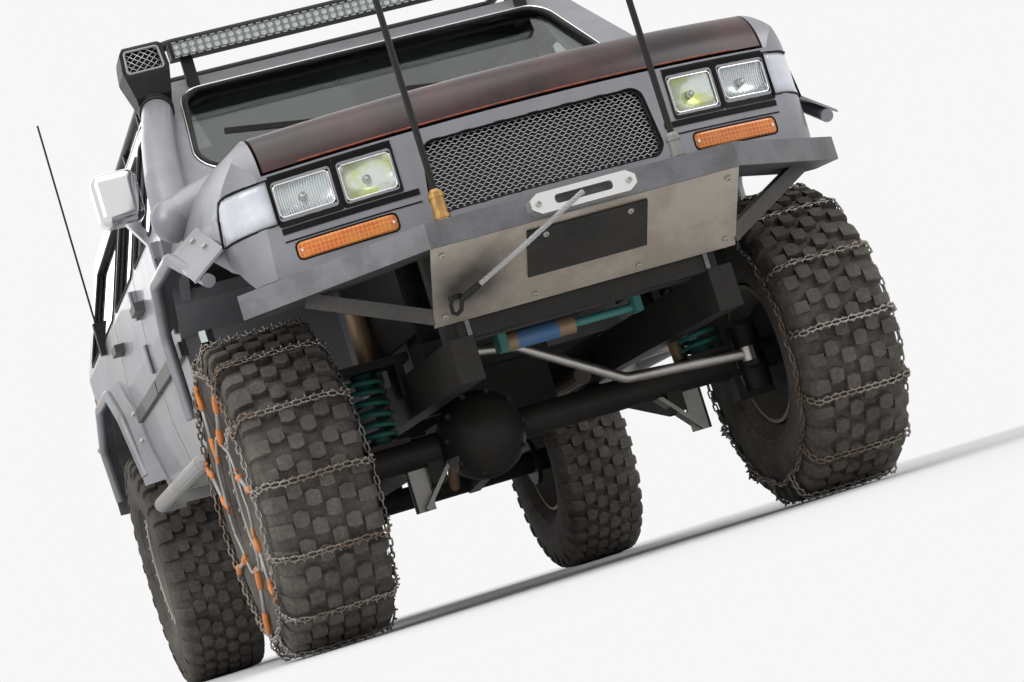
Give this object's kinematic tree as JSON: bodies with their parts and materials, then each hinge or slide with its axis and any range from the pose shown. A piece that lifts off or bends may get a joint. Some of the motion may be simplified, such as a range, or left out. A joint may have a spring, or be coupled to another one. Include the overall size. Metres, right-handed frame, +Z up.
{
  "type": "off-road estate car",
  "caption": "Lifted off-road estate car with steel bumper, winch, snorkel, roof rack, flares and chained front mud tyres; wheels, steering, doors and lids move.",
  "frame": {"origin": "on the ground, under the centre of the bounding box", "axes": "+X to the car's left, -Y to its front, +Z up"},
  "size_m": [2.06, 5.032, 2.313],
  "materials": {
    "paint": "dusty",
    "bonnet_paint": "faded",
    "black_metal": "satin",
    "bare_steel": "brushed",
    "bumper_steel": "mill scale",
    "chain_steel": "worn",
    "cabin_plastic": "matte",
    "spring_green": "gloss",
    "link_steel": "bright",
    "exhaust_steel": "heat stained",
    "fairlead_alloy": "machined",
    "glass": "clear",
    "mesh_steel": "bright",
    "lamp_glass": "fluted",
    "amber_lens": "gloss",
    "black_plastic": "matte",
    "cast_metal": "cast",
    "slider_steel": "satin",
    "seat_cloth": "woven",
    "damper_bronze": "satin",
    "red_lens": "gloss",
    "rope": "braided",
    "tyre": "dusty",
    "rim_steel": "satin",
    "mirror_chrome": "polished"
  },
  "bodies": {
    "body": {"aerials": "black_metal", "arch_flares": "paint", "body_shell": "paint", "bumper_plate": "bare_steel", "cabin_fittings": "cabin_plastic", "chassis_frame": "black_metal", "coil_springs": "spring_green", "exhaust": "exhaust_steel", "fairlead": "fairlead_alloy", "fixed_glass": "glass", "front_axle": "black_metal", "front_bumper": "bumper_steel", "front_wings": "paint", "grille_mesh": "mesh_steel", "headlamps": "lamp_glass", "indicators": "amber_lens", "inner_arches": "black_metal", "light_bar": "lamp_glass", "nose_panel": "paint", "number_plate": "black_plastic", "powertrain": "cast_metal", "rear_axle": "black_metal", "rear_bumper": "bumper_steel", "rock_sliders": "slider_steel", "roof_rack": "black_metal", "seats": "seat_cloth", "shock_absorbers": "damper_bronze", "snorkel": "paint", "snorkel_head": "black_plastic", "tail_lamps": "red_lens", "winch": "cast_metal", "winch_rope": "rope"},
    "knuckle_left": {"knuckle_left": "black_metal"},
    "knuckle_right": {"knuckle_right": "black_metal"},
    "tie_rod": {"tie_rod": "black_metal"},
    "drag_link": {"drag_link": "link_steel"},
    "wheel_front_left": {"tyre_front_left": "tyre", "rim_front_left": "rim_steel", "chain_left": "chain_steel"},
    "wheel_front_right": {"tyre_front_right": "tyre", "rim_front_right": "rim_steel", "chain_right": "chain_steel"},
    "wheel_rear_left": {"tyre_rear_left": "tyre", "rim_rear_left": "rim_steel"},
    "wheel_rear_right": {"tyre_rear_right": "tyre", "rim_rear_right": "rim_steel"},
    "bonnet": {"bonnet": "bonnet_paint"},
    "hatch": {"hatch": "paint", "hatch_glass": "glass"},
    "tailgate": {"tailgate": "paint"},
    "door_front_left": {"door_front_left": "paint", "glass_front_left": "glass", "mirror_left": "mirror_chrome"},
    "door_front_right": {"door_front_right": "paint", "glass_front_right": "glass", "mirror_right": "mirror_chrome"},
    "door_rear_left": {"door_rear_left": "paint", "glass_rear_left": "glass"},
    "door_rear_right": {"door_rear_right": "paint", "glass_rear_right": "glass"}
  },
  "joints": [
    {"name": "steer_right", "type": "hinge", "parent": "body", "child": "knuckle_right", "pos_m": [-0.655, -1.48, 0.46904], "axis": [0, 0, 1], "range_deg": [-25, 25]},
    {"name": "steer_left", "type": "hinge", "parent": "body", "child": "knuckle_left", "pos_m": [0.655, -1.48, 0.46904], "axis": [0, 0, 1], "range_deg": [-25, 25]},
    {"name": "tie_rod_turn", "type": "hinge", "parent": "knuckle_right", "child": "tie_rod", "pos_m": [-0.61, -1.308, 0.466], "axis": [0, 0, 1], "range_deg": [-25, 25]},
    {"name": "drag_link_turn", "type": "hinge", "parent": "knuckle_left", "child": "drag_link", "pos_m": [0.58, -1.67, 0.47], "axis": [0, 0, 1], "range_deg": [-25, 25]},
    {"name": "spin_front_left", "type": "hinge", "parent": "knuckle_left", "child": "wheel_front_left", "pos_m": [0.8, -1.48, 0.46904], "axis": [1, 0, 0], "continuous": true},
    {"name": "spin_rear_left", "type": "hinge", "parent": "body", "child": "wheel_rear_left", "pos_m": [0.8, 1.37, 0.46327], "axis": [1, 0, 0], "continuous": true},
    {"name": "spin_front_right", "type": "hinge", "parent": "knuckle_right", "child": "wheel_front_right", "pos_m": [-0.8, -1.48, 0.46904], "axis": [1, 0, 0], "continuous": true},
    {"name": "spin_rear_right", "type": "hinge", "parent": "body", "child": "wheel_rear_right", "pos_m": [-0.8, 1.37, 0.46327], "axis": [1, 0, 0], "continuous": true},
    {"name": "open_door_front_left", "type": "hinge", "parent": "body", "child": "door_front_left", "pos_m": [0.9245, -0.978, 1.1], "axis": [0, 0, -1], "range_deg": [0, 65]},
    {"name": "open_door_rear_left", "type": "hinge", "parent": "body", "child": "door_rear_left", "pos_m": [0.9245, -0.125, 1.1], "axis": [0, 0, -1], "range_deg": [0, 65]},
    {"name": "open_door_front_right", "type": "hinge", "parent": "body", "child": "door_front_right", "pos_m": [-0.9245, -0.978, 1.1], "axis": [0, 0, 1], "range_deg": [0, 65]},
    {"name": "open_door_rear_right", "type": "hinge", "parent": "body", "child": "door_rear_right", "pos_m": [-0.9245, -0.125, 1.1], "axis": [0, 0, 1], "range_deg": [0, 65]},
    {"name": "open_bonnet", "type": "hinge", "parent": "body", "child": "bonnet", "pos_m": [0, -1.085, 1.503], "axis": [-1, 0, 0], "range_deg": [0, 55]},
    {"name": "open_hatch", "type": "hinge", "parent": "body", "child": "hatch", "pos_m": [0, 2.257, 1.926], "axis": [1, 0, 0], "range_deg": [0, 85]},
    {"name": "open_tailgate", "type": "hinge", "parent": "body", "child": "tailgate", "pos_m": [0, 2.432, 0.767], "axis": [-1, 0, 0], "range_deg": [0, 90]}
  ],
  "couplings": [
    {"joint": "steer_left", "follows": "steer_right", "ratio": 1},
    {"joint": "tie_rod_turn", "follows": "steer_right", "ratio": -1},
    {"joint": "drag_link_turn", "follows": "steer_right", "ratio": -1}
  ]
}
